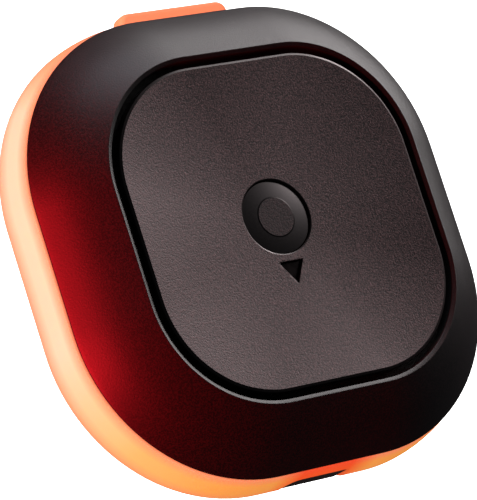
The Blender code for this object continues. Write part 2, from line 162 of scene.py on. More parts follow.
def add_mesh(name, work):
    """Turn a bmesh into a smooth-shaded object with outward faces."""
    bmesh.ops.recalc_face_normals(work, faces=work.faces)
    mesh = bpy.data.meshes.new(name)
    work.to_mesh(mesh)
    work.free()
    thing = bpy.data.objects.new(name, mesh)
    SCENE.collection.objects.link(thing)
    mesh.shade_smooth()
    return thing


def rounded_square(half, radius, z):
    """Points round a square with round corners, counter-clockwise from above."""
    steps = CORNER_STEPS
    points = []
    for corner in range(4):
        middle = math.radians(45 + 90 * corner)
        centre_x = math.copysign(half - radius, math.cos(middle))
        centre_y = math.copysign(half - radius, math.sin(middle))
        for step in range(steps + 1):
            angle = middle + math.radians(90 * step / steps - 45)
            points.append(Vector((centre_x + radius * math.cos(angle),
                                  centre_y + radius * math.sin(angle), z)))
        points.extend(side_points(corner, half, radius, z, steps // 3))
    return points


def side_points(corner, half, radius, z, count):
    """Points along the straight side that follows a corner, so that its faces stay even."""
    flat = half - radius
    start = {0: (flat, half), 1: (-half, flat), 2: (-flat, -half), 3: (half, -flat)}[corner]
    end = {0: (-flat, half), 1: (-half, -flat), 2: (flat, -half), 3: (half, flat)}[corner]
    points = []
    for step in range(1, count):
        along = step / count
        points.append(Vector((start[0] + (end[0] - start[0]) * along,
                              start[1] + (end[1] - start[1]) * along, z)))
    return points


def fillet(profile, closed):
    """Round a profile's corners: each point is (half, z, radius), and 0 keeps it sharp."""
    result = []
    count = len(profile)
    for index, (half, z, radius) in enumerate(profile):
        point = Vector((half, z))
        at_end = not closed and index in (0, count - 1)
        if radius == 0 or at_end:
            result.append(point)
            continue
        before = Vector(profile[index - 1][:2]) - point
        after = Vector(profile[(index + 1) % count][:2]) - point
        bend = before.angle(after)
        if bend > math.radians(176):
            result.append(point)
            continue
        setback = radius / math.tan(bend / 2)
        start = point + before.normalized() * setback
        end = point + after.normalized() * setback
        inward = (before.normalized() + after.normalized()).normalized()
        centre = point + inward * (radius / math.sin(bend / 2))
        steps = 5
        for step in range(steps + 1):
            spoke = (start - centre).lerp(end - centre, step / steps)
            result.append(centre + spoke.normalized() * radius)
    return result


def loft(name, rings, closed):
    """Skin a list of rings, capped at both ends or, when closed, joined last to first."""
    work = bmesh.new()
    loops = [[work.verts.new(point) for point in points] for points in rings]
    pairs = list(zip(loops, loops[1:]))
    if closed:
        pairs.append((loops[-1], loops[0]))
    else:
        work.faces.new(list(reversed(loops[0])))
        work.faces.new(loops[-1])
    for lower, upper in pairs:
        for here in range(len(lower)):
            following = (here + 1) % len(lower)
            work.faces.new((lower[here], lower[following], upper[following], upper[here]))
    return add_mesh(name, work)


def corner_centre(half):
    """How far the corners' centres lie from the middle, which grows a little with the outline."""
    return CORNER_CENTRE + CORNER_SPREAD * (half - PLATE_HALF)


def case_ring(half, z):
    """One of the case's family of outlines."""
    return rounded_square(half, half - corner_centre(half), z)


def case_loft(name, profile, closed):
    """Loft a filleted profile of (half, z, radius) points through the case's outlines."""
    return loft(name, [case_ring(half, z) for half, z in fillet(profile, closed)], closed)


def turned(name, profile, centre, steps=TURN_STEPS):
    """Spin a filleted profile of (radius, z, fillet), which runs from bottom to top.

    Profiles that close on the axis end at AXIS_RADIUS, so that their caps aren't empty.
    """
    rings = []
    for radius, z in fillet(profile, False):
        ring = []
        for step in range(steps):
            angle = math.tau * step / steps
            ring.append(Vector((centre[0] + radius * math.cos(angle),
                                centre[1] + radius * math.sin(angle), z)))
        rings.append(ring)
    return loft(name, rings, False)


def prism(name, outline, low, high):
    """An upright prism with a 2D outline."""
    rings = [[Vector((x, y, z)) for x, y in outline] for z in (low, high)]
    return loft(name, rings, False)


def rounded_rectangle(low, high, radius, steps=10):
    """Points round a rectangle with round corners, counter-clockwise."""
    centres = ((high[0] - radius, high[1] - radius), (low[0] + radius, high[1] - radius),
               (low[0] + radius, low[1] + radius), (high[0] - radius, low[1] + radius))
    points = []
    for corner, (x, y) in enumerate(centres):
        for step in range(steps + 1):
            angle = math.radians(90 * (corner + step / steps))
            points.append((x + radius * math.cos(angle), y + radius * math.sin(angle)))
    return points


def apply_boolean(thing, tool, operation):
    """Cut a tool out of a piece, or join it on, and remove the tool."""
    modifier = thing.modifiers.new("boolean", "BOOLEAN")
    modifier.operation = operation
    modifier.solver = "EXACT"
    modifier.object = tool
    bake_modifiers(thing)
    bpy.data.objects.remove(tool)


def bake_modifiers(thing):
    """Replace a piece's mesh with its evaluated one."""
    bpy.context.view_layer.update()
    graph = bpy.context.evaluated_depsgraph_get()
    mesh = bpy.data.meshes.new_from_object(thing.evaluated_get(graph))
    thing.modifiers.clear()
    thing.data = mesh


def soften(thing, width, segments, angle):
    """Bevel the edges sharper than an angle, and weight the normals to keep the flats flat."""
    modifier = thing.modifiers.new("bevel", "BEVEL")
    modifier.width = width
    modifier.segments = segments
    modifier.limit_method = "ANGLE"
    modifier.angle_limit = math.radians(angle)
    modifier.use_clamp_overlap = True
    weighted = thing.modifiers.new("normals", "WEIGHTED_NORMAL")
    weighted.keep_sharp = True
    return thing


def paint(thing, materials, zone):
    """Give a piece several materials, shared out by a function of the face."""
    for material in materials:
        thing.data.materials.append(material)
    for face in thing.data.polygons:
        face.material_index = zone(face)


def finish_piece(thing, body, node, material=None):
    """Give a piece its body and, if unpainted, a material, and hide the CAD node it stands for."""
    if material:
        thing.data.materials.append(material)
    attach(thing, body)
    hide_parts(node)


# Materials ---------------------------------------------------------------------------------------

class Nodes:
    """Short-hand for building one material's node tree."""

    def __init__(self, name):
        self.material = bpy.data.materials.new(name)
        self.material.use_nodes = True
        self.tree = self.material.node_tree
        self.shader = self.tree.nodes["Principled BSDF"]
        self.place = self.add("ShaderNodeTexCoord").outputs["Object"]

    def add(self, kind, **settings):
        """Add a node and set its own properties."""
        node = self.tree.nodes.new(kind)
        for key, value in settings.items():
            setattr(node, key, value)
        return node

    def link(self, source, target):
        """Join an output to an input."""
        self.tree.links.new(source, target)

    def noise(self, scale, detail=2.0, roughness=0.5, place=None):
        """Noise over the object's own coordinates, or over others."""
        node = self.add("ShaderNodeTexNoise")
        node.inputs["Scale"].default_value = scale
        node.inputs["Detail"].default_value = detail
        node.inputs["Roughness"].default_value = roughness
        self.link(place or self.place, node.inputs["Vector"])
        return node.outputs["Fac"]

    def span(self, value, low, high, new_low, new_high):
        """Map a range of values onto another, and hold it at the ends."""
        node = self.add("ShaderNodeMapRange")
        self.link(value, node.inputs["Value"])
        for key, number in (("From Min", low), ("From Max", high),
                            ("To Min", new_low), ("To Max", new_high)):
            node.inputs[key].default_value = number
        return node.outputs["Result"]

    def ramp(self, value, start, end, top=1.0):
        """Rise from 0 to the top as a value goes from start to end, which may be the lower."""
        return self.span(value, start, end, 0.0, top)

    def spread(self, noise, low, high):
        """Stretch the middle of a noise over new limits."""
        return self.span(noise, 0.3, 0.7, low, high)

    def math(self, operation, first, second=None):
        """Combine sockets or numbers."""
        node = self.add("ShaderNodeMath", operation=operation)
        for socket, value in zip(node.inputs, (first, second)):
            if value is None:
                continue
            if isinstance(value, (int, float)):
                socket.default_value = value
            else:
                self.link(value, socket)
        return node.outputs[0]

    def mix(self, factor, first, second):
        """Mix two colours, each a tuple or a socket."""
        node = self.add("ShaderNodeMix", data_type="RGBA")
        self.link(factor, node.inputs["Factor"])
        for socket, value in ((node.inputs[6], first), (node.inputs[7], second)):
            if isinstance(value, tuple):
                socket.default_value = (*value, 1.0)
            else:
                self.link(value, socket)
        return node.outputs[2]

    def bump(self, height, distance):
        """Raise the surface by a height that goes from 0 to 1."""
        node = self.add("ShaderNodeBump")
        node.inputs["Distance"].default_value = distance
        node.inputs["Strength"].default_value = 1.0
        self.link(height, node.inputs["Height"])
        self.link(node.outputs["Normal"], self.shader.inputs["Normal"])

    def set(self, **values):
        """Set or link the shader's inputs, named with underscores for spaces."""
        for key, value in values.items():
            socket = self.shader.inputs[key.replace("_", " ")]
            if isinstance(value, bpy.types.NodeSocket):
                self.link(value, socket)
            elif isinstance(value, tuple) and len(value) == 3 and socket.type == "RGBA":
                socket.default_value = (*value, 1.0)
            else:
                socket.default_value = value
        return self.material


def moulded_plastic(name, dark, light, grain, depth, rough, flecks=0.0):
    """Moulded plastic: fine grain in colour, roughness and relief, with soft large variation."""
    nodes = Nodes(name)
    fine = nodes.noise(grain, 3.0, 0.6)
    broad = nodes.noise(120.0, 3.0)
    colour = nodes.mix(nodes.ramp(fine, 0.42, 0.6), dark, light)
    if flecks:
        bright = tuple(min(1.0, channel * 5) for channel in light)
        spots = nodes.ramp(nodes.noise(grain * 1.7, 1.0), 0.64, 0.72, flecks)
        colour = nodes.mix(spots, colour, bright)
    handled = nodes.spread(broad, rough - 0.015, rough + 0.02)
    roughness = nodes.math("ADD", handled, nodes.spread(fine, -0.04, 0.04))
    nodes.bump(fine, depth)
    return nodes.set(Base_Color=colour, Roughness=roughness)


# Dark and light colour, grain scale, relief, roughness and, on the face plate, bright flecks
PLASTICS = {
    "face_texture": ((0.001, 0.0005, 0.0005), (0.1, 0.055, 0.057), 7000.0, 0.03 * MM, 0.48, 0.6),
    "cap_shell": ((0.002, 0.001, 0.001), (0.016, 0.007, 0.008), 7500.0, 0.014 * MM, 0.46),
    "cut_edge": ((0.004, 0.003, 0.003), (0.014, 0.01, 0.01), 7500.0, 0.006 * MM, 0.36),
    "button_satin": ((0.0012, 0.0006, 0.0006), (0.002, 0.001, 0.001), 8000.0, 0.001 * MM, 0.36),
    "cover_plastic": ((0.008, 0.005, 0.005), (0.018, 0.012, 0.012), 5000.0, 0.01 * MM, 0.5),
    "chassis_plastic": ((0.02, 0.02, 0.021), (0.04, 0.04, 0.042), 1200.0, 0.012 * MM, 0.55),
}


def orange_with_painted_light(nodes):
    """Amber with painted light: a painted highlight in cream and gold on the left, painted shade in coral along
    the wall's foot and seam, a red notch side and a pink tab side.
    """
    place = nodes.add("ShaderNodeSeparateXYZ")
    nodes.link(nodes.place, place.inputs[0])
    across, along, height = place.outputs
    amber, gold, cream = (1.0, 0.36, 0.075), (1.0, 0.42, 0.14), (1.0, 0.55, 0.37)
    coral, red, pink = (1.0, 0.27, 0.13), (1.0, 0.05, 0.01), (1.0, 0.28, 0.16)
    # Painted highlight: cream and gold spread over the left of the wall, where the warm side light falls
    left = nodes.ramp(across, -10.0 * MM, -17.0 * MM)
    middle = nodes.ramp(along, -15.0 * MM, -6.0 * MM)
    core = nodes.mix(left, amber, nodes.mix(middle, gold, cream))
    # Painted shade: coral below the middle band and near the seam, where the rounded wall turns from the light
    lower = nodes.ramp(height, 1.5 * MM, 3.6 * MM)
    upper = nodes.ramp(height, 5.9 * MM, 4.9 * MM)
    colour = nodes.mix(nodes.math("MULTIPLY", lower, upper), coral, core)
    side = nodes.ramp(nodes.math("ABSOLUTE", across), 5.0 * MM, 2.4 * MM)
    front = nodes.ramp(along, -17.0 * MM, -19.0 * MM, 0.85)
    colour = nodes.mix(nodes.math("MULTIPLY", side, front), colour, red)
    return nodes.mix(nodes.ramp(along, 14.0 * MM, 19.0 * MM, 0.8), colour, pink)


def glow_orange():
    """Translucent orange plastic with a soft painted glow: emission that stands in for light passing through it,
    in the colour of its painted highlight and shade, spread over it.
    """
    nodes = Nodes("glow_orange")
    colour = orange_with_painted_light(nodes)
    broad = nodes.noise(90.0)
    fine = nodes.noise(5200.0)
    roughness = nodes.math("ADD", nodes.spread(broad, 0.46, 0.54), nodes.spread(fine, -0.04, 0.04))
    nodes.bump(fine, 0.003 * MM)
    # The emission is a painted glow, in the base colour with its painted highlight and shade
    return nodes.set(Base_Color=colour, Roughness=roughness, Subsurface_Weight=0.4,
                     Subsurface_Radius=(2.0, 0.6, 0.25), Subsurface_Scale=0.4 * MM,
                     Specular_IOR_Level=0.25, Emission_Color=colour, Emission_Strength=0.5)


def smoked_lens():
    """Near-black smoked plastic with a faint haze."""
    nodes = Nodes("smoked_lens")
    haze = nodes.noise(900.0, 3.0)
    nodes.bump(haze, 0.001 * MM)
    return nodes.set(Base_Color=(0.002, 0.0015, 0.0015), Specular_IOR_Level=0.15,
                     Roughness=nodes.spread(haze, 0.2, 0.3))


def black_rubber(name, colour=(0.006, 0.005, 0.005)):
    """Matt rubber or foam, with dust in its roughness and relief; also the near-black painted shade inside the
    cap's groove.
    """
    nodes = Nodes(name)
    dust = nodes.noise(3000.0, 4.0)
    broad = nodes.noise(300.0)
    nodes.bump(dust, 0.01 * MM)
    light = tuple(channel * 2.2 for channel in colour)
    return nodes.set(Base_Color=nodes.mix(nodes.spread(broad, 0.0, 1.0), colour, light),
                     Roughness=nodes.spread(dust, 0.68, 0.9))


def metal(name, colour, rough):
    """Rolled or brushed metal: streaks stretched along X, and faint handling marks."""
    nodes = Nodes(name)
    stretch = nodes.add("ShaderNodeMapping")
    stretch.inputs["Scale"].default_value = (0.03, 1.0, 1.0)
    nodes.link(nodes.place, stretch.inputs["Vector"])
    streaks = nodes.noise(4000.0, 3.0, place=stretch.outputs["Vector"])
    marks = nodes.noise(260.0, 4.0)
    dull = tuple(channel * 0.78 for channel in colour)
    shade = nodes.mix(nodes.ramp(marks, 0.35, 0.7), colour, dull)
    roughness = nodes.math("ADD", nodes.spread(streaks, rough - 0.07, rough + 0.1),
                           nodes.ramp(marks, 0.4, 0.7, 0.08))
    nodes.bump(streaks, 0.002 * MM)
    return nodes.set(Base_Color=shade, Metallic=1.0, Roughness=roughness)


def circuit_board():
    """Green solder mask over faint copper lines."""
    nodes = Nodes("circuit_board")
    tracks = nodes.add("ShaderNodeTexBrick")
    tracks.inputs["Scale"].default_value = 900.0
    tracks.inputs["Mortar Size"].default_value = 0.06
    nodes.link(nodes.place, tracks.inputs["Vector"])
    weave = nodes.noise(1800.0)
    colour = nodes.mix(tracks.outputs["Fac"], (0.006, 0.05, 0.025), (0.012, 0.11, 0.05))
    nodes.bump(tracks.outputs["Fac"], 0.02 * MM)
    return nodes.set(Base_Color=colour, Roughness=nodes.spread(weave, 0.25, 0.45), Coat_Weight=0.4)


def ceramic():
    """Fired ceramic, off-white with a fine grain."""
    nodes = Nodes("ceramic_white")
    grain = nodes.noise(2500.0, 4.0)
    broad = nodes.noise(400.0)
    nodes.bump(grain, 0.006 * MM)
    colour = nodes.mix(nodes.spread(broad, 0.0, 1.0), (0.62, 0.58, 0.5), (0.78, 0.75, 0.68))
    return nodes.set(Base_Color=colour, Roughness=nodes.spread(grain, 0.35, 0.55))


def led_epoxy():
    """Yellow phosphor under clear epoxy."""
    nodes = Nodes("led_epoxy")
    swirl = nodes.noise(1200.0)
    nodes.bump(swirl, 0.004 * MM)
    colour = nodes.mix(swirl, (0.95, 0.75, 0.25), (0.98, 0.9, 0.55))
    return nodes.set(Base_Color=colour, Roughness=nodes.spread(swirl, 0.12, 0.25),
                     Subsurface_Weight=0.4, Subsurface_Scale=0.3 * MM)


def make_materials():
    """Every material of the tag, by slot name."""
    materials = {name: moulded_plastic(name, *recipe) for name, recipe in PLASTICS.items()}
    materials["black_rubber"] = black_rubber("black_rubber")
    # Painted shade: a near-black matt finish, darker than the cap's plastic, for the cap's faces inside the
    # groove, where the narrow slot lies in shade
    materials["groove_black"] = black_rubber("groove_black", (0.0015, 0.0012, 0.0012))
    materials["foam"] = black_rubber("foam", (0.03, 0.03, 0.033))
    materials["circuit_board"] = circuit_board()
    materials["nickel_steel"] = metal("nickel_steel", (0.66, 0.64, 0.6), 0.28)
    materials["cell_steel"] = metal("cell_steel", (0.7, 0.7, 0.7), 0.24)
    materials["screw_steel"] = metal("screw_steel", (0.5, 0.5, 0.52), 0.3)
    materials["brass"] = metal("brass", (0.78, 0.56, 0.24), 0.3)
    materials["ceramic_white"] = ceramic()
    materials["led_epoxy"] = led_epoxy()
    materials["smoked_lens"] = smoked_lens()
    materials["glow_orange"] = glow_orange()
    return materials


# Front -------------------------------------------------------------------------------------------

def crowned_side(start, end):
    """Profile points between two corners, along a gentle outward arch."""
    steps = 16
    points = []
    for step in range(1, steps):
        along = step / steps
        crown = SHOULDER_CROWN * math.sin(math.pi * along)
        point = start.lerp(end, along) + Vector((0.6, 0.8)) * crown
        points.append((point.x, point.y, 0.0))
    return points


def cap_profile():
    """The cap's closed section: shoulder, groove, ledge, and the skirt inside the shell."""
    brow = GROOVE_HALF + CHAMFER_WIDTH
    ledge_z = GROOVE_FLOOR_Z - LEDGE_THICK
    shoulder = crowned_side(Vector((CAP_HALF, SEAM_Z + 0.25 * MM)), Vector((brow, RIM_Z)))
    return [
        (CAP_HALF - 0.2 * MM, SEAM_Z, 0.0), (CAP_HALF, SEAM_Z + 0.22 * MM, 0.12 * MM), *shoulder,
        (brow, RIM_Z, 0.08 * MM), (GROOVE_HALF, RIM_Z - CHAMFER_DROP, 0.03 * MM),
        (GROOVE_HALF, GROOVE_FLOOR_Z, 0.1 * MM), (LEDGE_HALF, GROOVE_FLOOR_Z, 0.08 * MM),
        (LEDGE_HALF, ledge_z, 0.0), (PLATE_HALF, ledge_z, 0.0),
        (SKIRT_INNER, SEAM_Z - 0.4 * MM, 0.0), (SKIRT_INNER, SKIRT_Z, 0.1 * MM),
        (SKIRT_OUTER, SKIRT_Z, 0.1 * MM), (SKIRT_OUTER, SEAM_Z, 0.0),
    ]


def outline_reach(direction, half):
    """Distance from the Z axis to one of the case's outlines in a direction."""
    across = max(abs(direction.x), abs(direction.y))
    along = min(abs(direction.x), abs(direction.y))
    radius = half - corner_centre(half)
    flat = half - radius
    if across * flat >= along * half:
        return half / across
    middle = flat * (across + along)
    return middle + math.sqrt(max(0.0, middle * middle - (2 * flat * flat - radius * radius)))


def cap_zone(face):
    """Material of a cap face: 2 on the chamfer round the groove, 1 in the groove, where a near-black finish is
    painted shade, 0 elsewhere.
    """
    place = Vector((face.center.x, face.center.y))
    reach = outline_reach(place.normalized(), GROOVE_HALF)
    above = face.center.z - (RIM_Z - CHAMFER_DROP)
    if above > 0 and place.length < reach + CHAMFER_WIDTH:
        return 2
    if above > GROOVE_FLOOR_Z - RIM_Z - LEDGE_THICK and place.length < reach + 0.02 * MM:
        return 1
    return 0


def make_cap_shell(materials):
    """Front cap: crowned shoulder with a cut edge, a groove darkened with painted shade, ledge and skirt."""
    shell = case_loft("cap_shell", cap_profile(), True)
    paint(shell, [materials[name] for name in ("cap_shell", "groove_black", "cut_edge")], cap_zone)
    finish_piece(soften(shell, 0.03 * MM, 2, 60), "root", "front_cap")


def dish_z(x, y):
    """Height of the plate's dished surface."""
    place = Vector((x, y))
    if place.length < 1e-9:
        return DISH_Z
    share = place.length / outline_reach(place.normalized(), PLATE_HALF - PLATE_EDGE)
    return DISH_Z + (PLATE_TOP_Z - DISH_Z) * min(1.0, share) ** 2


def plate_rim_rings():
    """Rings from the plate's underside up its side and over its rounded rim."""
    rings = [case_ring(PLATE_BLOCK_HALF, PLATE_UNDER_Z), case_ring(PLATE_BLOCK_HALF, PLATE_FLANGE_Z),
             case_ring(PLATE_HALF, PLATE_FLANGE_Z)]
    for inset, drop in ((0.0, 0.18 * MM), (0.02 * MM, 0.12 * MM), (0.05 * MM, 0.085 * MM),
                        (PLATE_EDGE, 0.0)):
        rings.append(case_ring(PLATE_HALF - inset, PLATE_TOP_Z - drop))
    return rings


def plate_surface_rings():
    """Rings over the dished surface, which turn from the plate's outline into the button hole."""
    rim = case_ring(PLATE_HALF - PLATE_EDGE, PLATE_TOP_Z)
    centre = Vector((0.0, BUTTON_Y, 0.0))
    steps = 26
    rings = []
    for step in range(steps + 1):
        along = step / steps
        ring = []
        for point in rim:
            spoke = Vector((point.x, point.y - BUTTON_Y, 0.0))
            hole = centre + spoke.normalized() * (HOLE_RADIUS + HOLE_EDGE)
            place = Vector((point.x, point.y, 0.0)).lerp(hole, along)
            ring.append(Vector((place.x, place.y, dish_z(place.x, place.y))))
        rings.append(ring)
    return rings


def hole_rings(rim):
    """The button hole's chamfer and wall, ring by ring, down to the plate's underside."""
    centre = Vector((0.0, BUTTON_Y, 0.0))
    rings = []
    for inset, drop in ((0.85, 0.4), (1.0, 0.6)):
        rings.append([hole_point(point, centre, inset * HOLE_EDGE, drop * HOLE_EDGE)
                      for point in rim])
    rings.append([Vector((point.x, point.y, PLATE_UNDER_Z)) for point in rings[-1]])
    return rings


def hole_point(point, centre, inset, drop):
    """A rim point moved in towards the hole's axis, and down."""
    outward = Vector((point.x - centre.x, point.y - centre.y, 0.0)).normalized()
    return Vector((point.x, point.y, point.z - drop)) - outward * inset


def plate_zone(face):
    """Material of a plate face: 1 on the rounded rim and the hole's chamfer, 0 elsewhere."""
    level = abs(face.normal.z) > 0.97
    low = face.center.z < DISH_Z - 0.15 * MM
    return 0 if level or low else 1


def make_face_plate(materials):
    """Face plate: rounded rim, dished surface, button hole with a chamfer, and the window."""
    surface = plate_surface_rings()
    rings = plate_rim_rings() + surface[1:] + hole_rings(surface[-1])
    plate = loft("plate_skin", rings, True)
    paint(plate, [materials["face_texture"], materials["cut_edge"]], plate_zone)
    plate.data.set_sharp_from_angle(angle=math.radians(15))
    outline = window_outline(WINDOW_GAP)
    cutter = prism("window_cutter", outline, PLATE_UNDER_Z - MM, RIM_Z + MM)
    apply_boolean(plate, cutter, "DIFFERENCE")
    plate.data.shade_smooth()
    soften(plate, 0.07 * MM, 3, 50).modifiers["bevel"].material = 1
    finish_piece(plate, "root", "face_plate")


def window_outline(grow):
    """The window's triangle, grown outwards by a distance, with its point towards -Y."""
    half, base, tip = LENS_HIGH.x, LENS_HIGH.y, LENS_LOW.y
    rise = base - tip
    slant = math.hypot(rise, half)
    low = tip - grow * slant / half
    high = base + grow
    wide = (high - low) * half / rise
    return [(wide, high), (-wide, high), (0.0, low)]


def make_lens(materials):
    """Smoked window, sunk a little below the plate."""
    lens = prism("window_lens", window_outline(0.0), LENS_LOW.z, LENS_HIGH.z)
    finish_piece(soften(lens, 0.05 * MM, 3, 30), "root", "indicator_lens",
                 materials["smoked_lens"])


def button_zone(face):
    """Material of a button face: 1 on the textured island, 0 elsewhere."""
    reach = math.hypot(face.center.x, face.center.y - BUTTON_Y)
    on_top = face.center.z > DISH_Z - 0.01 * MM
    return 1 if on_top and reach < ISLAND_RADIUS - ISLAND_EDGE else 0


def make_button(materials):
    """Button: textured level island, smooth conical flank, flange and nub."""
    flange_low, flange_top = FLANGE_Z
    profile = [(AXIS_RADIUS, NUB_Z, 0.0), (0.6 * MM, NUB_Z, 0.06 * MM), (0.7 * MM, flange_low, 0.0),
               (FLANGE_RADIUS, flange_low, 0.05 * MM), (FLANGE_RADIUS, flange_top, 0.05 * MM),
               (BUTTON_RADIUS, flange_top, 0.0), (BUTTON_RADIUS, DISH_Z - FLANK_DROP, 0.03 * MM),
               (ISLAND_RADIUS + ISLAND_EDGE, DISH_Z - 0.035 * MM, 0.0),
               (ISLAND_RADIUS - ISLAND_EDGE, DISH_Z, 0.0), (0.5 * MM, DISH_Z, 0.0),
               (AXIS_RADIUS, DISH_Z, 0.0)]
    button = turned("button_skin", profile, (0.0, BUTTON_Y))
    paint(button, [materials["button_satin"], materials["face_texture"]], button_zone)
    button.data.set_sharp_from_angle(angle=math.radians(7))
    finish_piece(soften(button, 0.02 * MM, 2, 60), "button", "button_cap")


# Base and back -----------------------------------------------------------------------------------

def wall_profile():
    """The base's outer wall, from its foot up: a quarter ellipse, then a gentle lean in."""
    reach = WALL_HALF - BACK_HALF
    points = []
    for degrees in range(-90, 1, 6):
        angle = math.radians(degrees)
        points.append((BACK_HALF + reach * math.cos(angle),
                       WALL_WIDEST_Z + (WALL_WIDEST_Z - SHELL_FOOT_Z) * math.sin(angle), 0.0))
    steps = 10
    for step in range(1, steps):
        share = step / steps
        points.append((WALL_HALF - (WALL_HALF - CAP_HALF) * share ** 2,
                       WALL_WIDEST_Z + (SHELL_TOP_Z - WALL_WIDEST_Z) * share, 0.0))
    points.append((CAP_HALF, SHELL_TOP_Z, 0.2 * MM))
    return points


def make_base_shell(materials):
    """Base shell: convex wall, inner shelf, grip tab at the top and notch at the bottom."""
    opening = COVER_HALF + 0.3 * MM
    shelf_low, shelf_top = SHELF_Z
    profile = wall_profile()
    profile += [(SOCKET_HALF, SHELL_TOP_Z, 0.15 * MM), (SOCKET_HALF, shelf_top, 0.1 * MM),
                (SHELF_HALF, shelf_top, 0.1 * MM), (SHELF_HALF, shelf_low, 0.1 * MM),
                (opening, shelf_low, 0.0), (opening, SHELL_FOOT_Z, 0.12 * MM)]
    shell = case_loft("glow_base", profile, True)
    apply_boolean(shell, make_tab(), "UNION")
    apply_boolean(shell, make_notch_cutter(), "DIFFERENCE")
    shell.data.shade_smooth()
    finish_piece(soften(shell, 0.25 * MM, 4, 32), "root", "base_shell",
                 materials["glow_orange"])


def make_tab():
    """Grip tab: a rounded slab that stands out of the wall."""
    outline = rounded_rectangle((-TAB_HALF, SOCKET_HALF + 0.4 * MM), (TAB_HALF, TAB_REACH), 0.9 * MM)
    tab = prism("tab_block", outline, *TAB_Z)
    soften(tab, 0.45 * MM, 5, 40)
    bake_modifiers(tab)
    return tab


def make_notch_cutter():
    """Arch that cuts the notch through the wall's -Y side."""
    low = (-NOTCH_HALF, -3.0 * MM)
    arch = rounded_rectangle(low, (NOTCH_HALF, NOTCH_TOP_Z), 1.2 * MM)
    cutter = prism("notch_cutter", arch, COVER_HALF - 0.3 * MM, WALL_HALF + MM)
    cutter.data.transform(Matrix.Rotation(math.radians(90), 4, "X"))
    return cutter


def make_back_cover(materials):
    """Back cover: softened plate with a round recess, a raised lip, and the pull tongue."""
    profile = [(COVER_HALF - 1.5 * MM, 0.0, 0.0),
               (COVER_HALF, 0.0, 0.3 * MM), (COVER_HALF, COVER_PLATE_Z, 0.1 * MM),
               (LIP_OUTER, COVER_PLATE_Z, 0.0), (LIP_OUTER, LIP_TOP_Z, 0.2 * MM),
               (LIP_INNER, LIP_TOP_Z, 0.2 * MM), (LIP_INNER, COVER_PLATE_Z, 0.0),
               (LIP_INNER - MM, COVER_PLATE_Z, 0.0)]
    cover = case_loft("cover_skin", profile, False)
    apply_boolean(cover, make_tongue(), "UNION")
    dish = [(RECESS_RADIUS, -MM, 0.0), (RECESS_RADIUS, 0.0, 0.0),
            (RECESS_RADIUS - 0.3 * MM, RECESS_DEPTH, 0.0)]
    apply_boolean(cover, turned("recess_cutter", dish, (0.0, 0.0)), "DIFFERENCE")
    cover.data.shade_smooth()
    finish_piece(soften(cover, 0.06 * MM, 3, 25), "cover", "back_cover",
                 materials["cover_plastic"])


def make_tongue():
    """Pull tongue: an L-shaped hook with a rounded back that fills the notch."""
    inner = COVER_HALF - 0.7 * MM
    upright = 16.85 * MM
    low = 0.12 * MM
    seat = COVER_PLATE_Z - 0.1 * MM
    side = [(inner, low, 0.0), (TONGUE_REACH - 1.6 * MM, low, 0.4 * MM),
            (TONGUE_REACH, 1.3 * MM, 0.8 * MM), (TONGUE_REACH, TONGUE_TOP_Z, 0.4 * MM),
            (upright, TONGUE_TOP_Z, 0.2 * MM), (upright, seat, 0.0), (inner, seat, 0.0)]
    outline = [tuple(point) for point in fillet(side, True)]
    tongue = prism("tongue_block", outline, -TONGUE_HALF, TONGUE_HALF)
    stand_up = Matrix(((0, 0, -1, 0), (-1, 0, 0, 0), (0, 1, 0, 0), (0, 0, 0, 1)))
    tongue.data.transform(stand_up)
    return tongue


def screw_profile(bottom, top):
    """A pan head below a ribbed shank, which ends in a blunt point."""
    head, shank, core, point = 1.25 * MM, 0.6 * MM, 0.48 * MM, 0.35 * MM
    head_top = bottom + 0.58 * MM
    profile = [(AXIS_RADIUS, bottom, 0.0), (1.0 * MM, bottom, 0.12 * MM),
               (head, bottom + 0.25 * MM, 0.1 * MM), (head, head_top, 0.05 * MM),
               (shank, head_top, 0.0)]
    ribs = 11
    for rib in range(ribs):
        z = head_top + (0.35 + 0.4 * rib) * MM
        profile += [(core, z, 0.0), (shank, z + 0.2 * MM, 0.0)]
    return profile + [(point, top, 0.0), (AXIS_RADIUS, top, 0.0)]


def make_screw(number, materials):
    """Case screw, with a cross recess in its head."""
    node = f"case_screw_{number}"
    low, high = (Vector(corner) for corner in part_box(node))
    centre = ((low.x + high.x) / 2, (low.y + high.y) / 2)
    screw = turned(f"screw_{number}", screw_profile(low.z, high.z), centre, 32)
    reach, thick = 0.75 * MM, 0.17 * MM
    slot = rounded_rectangle((-reach, -thick), (reach, thick), 0.1 * MM, 4)
    for angle in (0.0, 90.0):
        cutter = prism("recess_cutter", slot, low.z - MM, low.z + 0.35 * MM)
        cutter.data.transform(Matrix.Rotation(math.radians(angle), 4, "Z"))
        cutter.data.transform(Matrix.Translation((*centre, 0.0)))
        apply_boolean(screw, cutter, "DIFFERENCE")
    screw.data.shade_smooth()
    finish_piece(soften(screw, 0.03 * MM, 2, 45), "root", node,
                 materials["screw_steel"])


def dress_cad_nodes(materials, redone):
    """Round the kept CAD nodes' edges and give them their detailed materials."""
    slots = {entry["node"]: entry["material_slot"] for entry in frame["record"]["subparts"]}
    for name, thing in frame["nodes"].items():
        if name in redone:
            continue
        thing.data.materials.clear()
        thing.data.materials.append(materials[slots[name]])
        thing.data.shade_smooth()
        soften(thing, 0.05 * MM, 2, 40)


# Light, floor and camera -------------------------------------------------------------------------

def only_lights(light, things):
    """Restrict a light to a set of objects."""
    group = bpy.data.collections.new(f"{light.name}_receivers")
    for thing in things:
        group.objects.link(thing)
    light.light_linking.receiver_collection = group


def area_light(name, direction, distance, size, power, colour):
    """A rectangular light that faces the tag from a direction."""
    data = bpy.data.lights.new(name, "AREA")
    data.shape = "RECTANGLE"
    data.size, data.size_y = size
    data.energy = power
    data.color = colour
    light = bpy.data.objects.new(name, data)
    place = Vector(direction).normalized() * distance
    light.location = place
    light.rotation_euler = (-place).to_track_quat("-Z", "Y").to_euler()
    SCENE.collection.objects.link(light)
    return light


